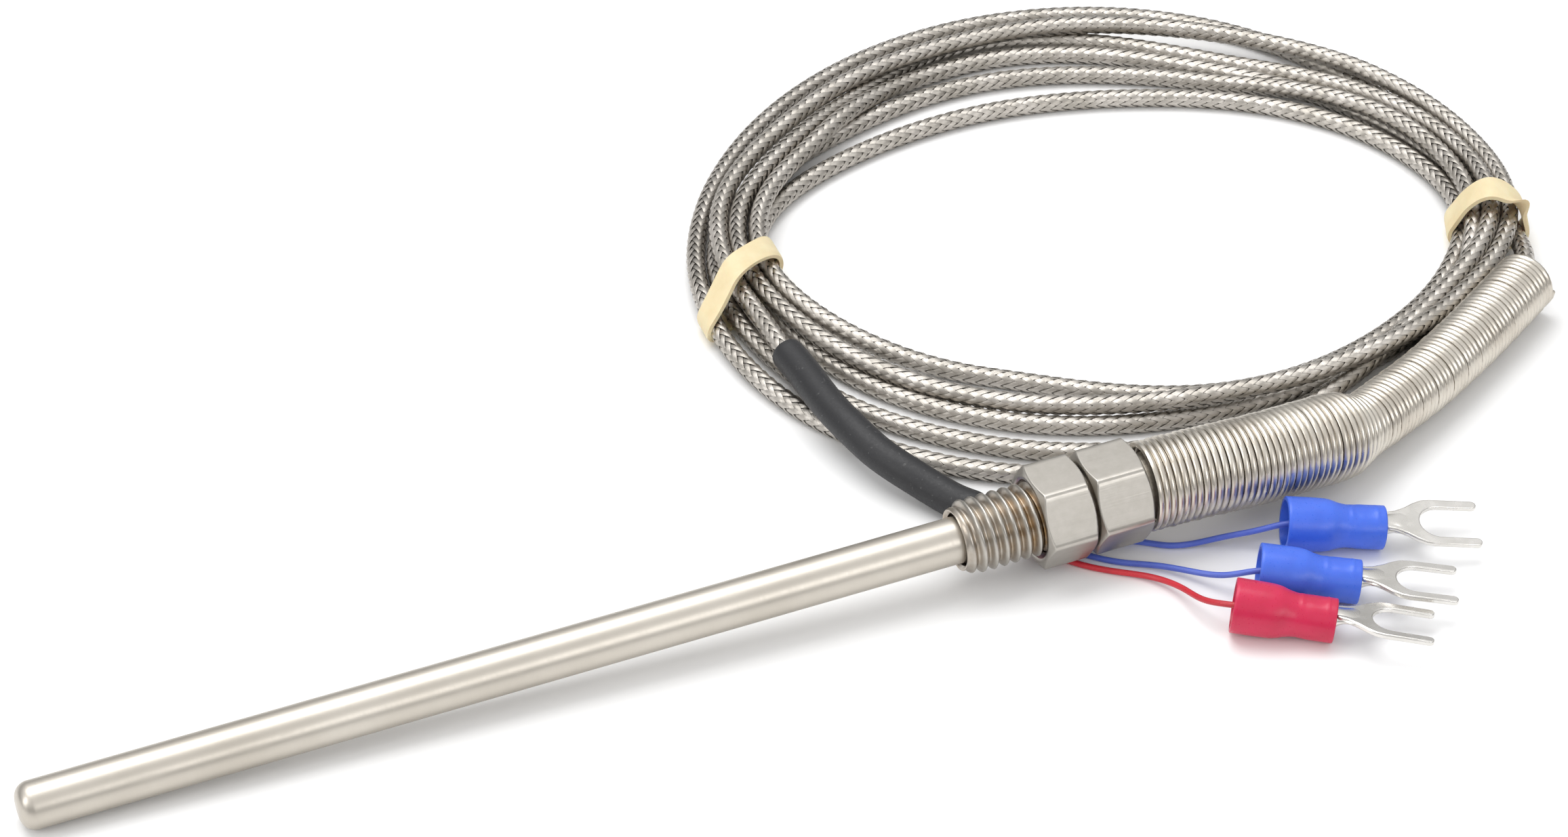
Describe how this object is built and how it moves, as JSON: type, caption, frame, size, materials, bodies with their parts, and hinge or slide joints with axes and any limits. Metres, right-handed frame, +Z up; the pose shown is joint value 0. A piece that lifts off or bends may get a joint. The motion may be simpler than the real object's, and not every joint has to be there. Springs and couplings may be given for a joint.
{
  "type": "temperature probe",
  "caption": "Screw-in sheathed temperature probe with a threaded fitting, lock nut, spring strain relief and a coiled steel-braided cable ending in fork terminals.",
  "frame": {"origin": "on the table, under the middle of the rigid probe's box (the cord nodes are left out)", "axes": "+X along the probe from its closed tip towards the cable, +Y towards the coil, +Z up; the probe's axis leans 2.05 degrees up towards +X"},
  "size_m": [0.1862, 0.1268, 0.0118],
  "materials": {
    "steel": "satin, finely brushed around its axis",
    "nickel": "machined and nickel plated",
    "tinned": "bright tin plating",
    "platinum": "bright drawn wire",
    "ceramic": "white fired ceramic",
    "braid": "woven fine steel wire",
    "epoxy": "cast resin",
    "shrink": "heat-shrunk, dull",
    "blue": "soft vinyl",
    "red": "soft vinyl",
    "latex": "natural latex"
  },
  "bodies": {
    "probe": {"alumina_fill": "ceramic", "braid_ferrule": "steel", "cable_coil": "braid", "cable_lead": "braid", "cable_tail": "braid", "element_lead_1": "platinum", "element_lead_2": "platinum", "epoxy_seal": "epoxy", "fork_terminal_blue_1": "tinned", "fork_terminal_blue_2": "tinned", "fork_terminal_red": "tinned", "heat_shrink_sleeve": "shrink", "inner_wire_blue_1": "blue", "inner_wire_blue_2": "blue", "inner_wire_red": "red", "lead_wire_blue_1": "blue", "lead_wire_blue_2": "blue", "lead_wire_red": "red", "probe_sheath": "steel", "retaining_collar": "steel", "rubber_band_left": "latex", "rubber_band_right": "latex", "sensing_element": "ceramic", "splice_blue": "tinned", "splice_red": "tinned", "strain_relief_spring": "steel", "vinyl_sleeve_blue_1": "blue", "vinyl_sleeve_blue_2": "blue", "vinyl_sleeve_red": "red"},
    "fitting": {"threaded_fitting": "nickel"},
    "nut": {"lock_nut": "nickel"}
  },
  "joints": [
    {"name": "fitting_spin", "type": "hinge", "parent": "probe", "child": "fitting", "pos_m": [0.04862, 0, 0.00639], "axis": [0.9994, 0, 0.0358], "range_deg": [-72.1, 2304.1]},
    {"name": "nut_travel", "type": "slide", "parent": "probe", "child": "nut", "axis": [-0.9994, 0, -0.0358], "range_m": [-0.00025, 0.008]}
  ],
  "couplings": [
    {"joint": "fitting_spin", "follows": "nut_travel", "rad_per_m": 5026.5}
  ]
}
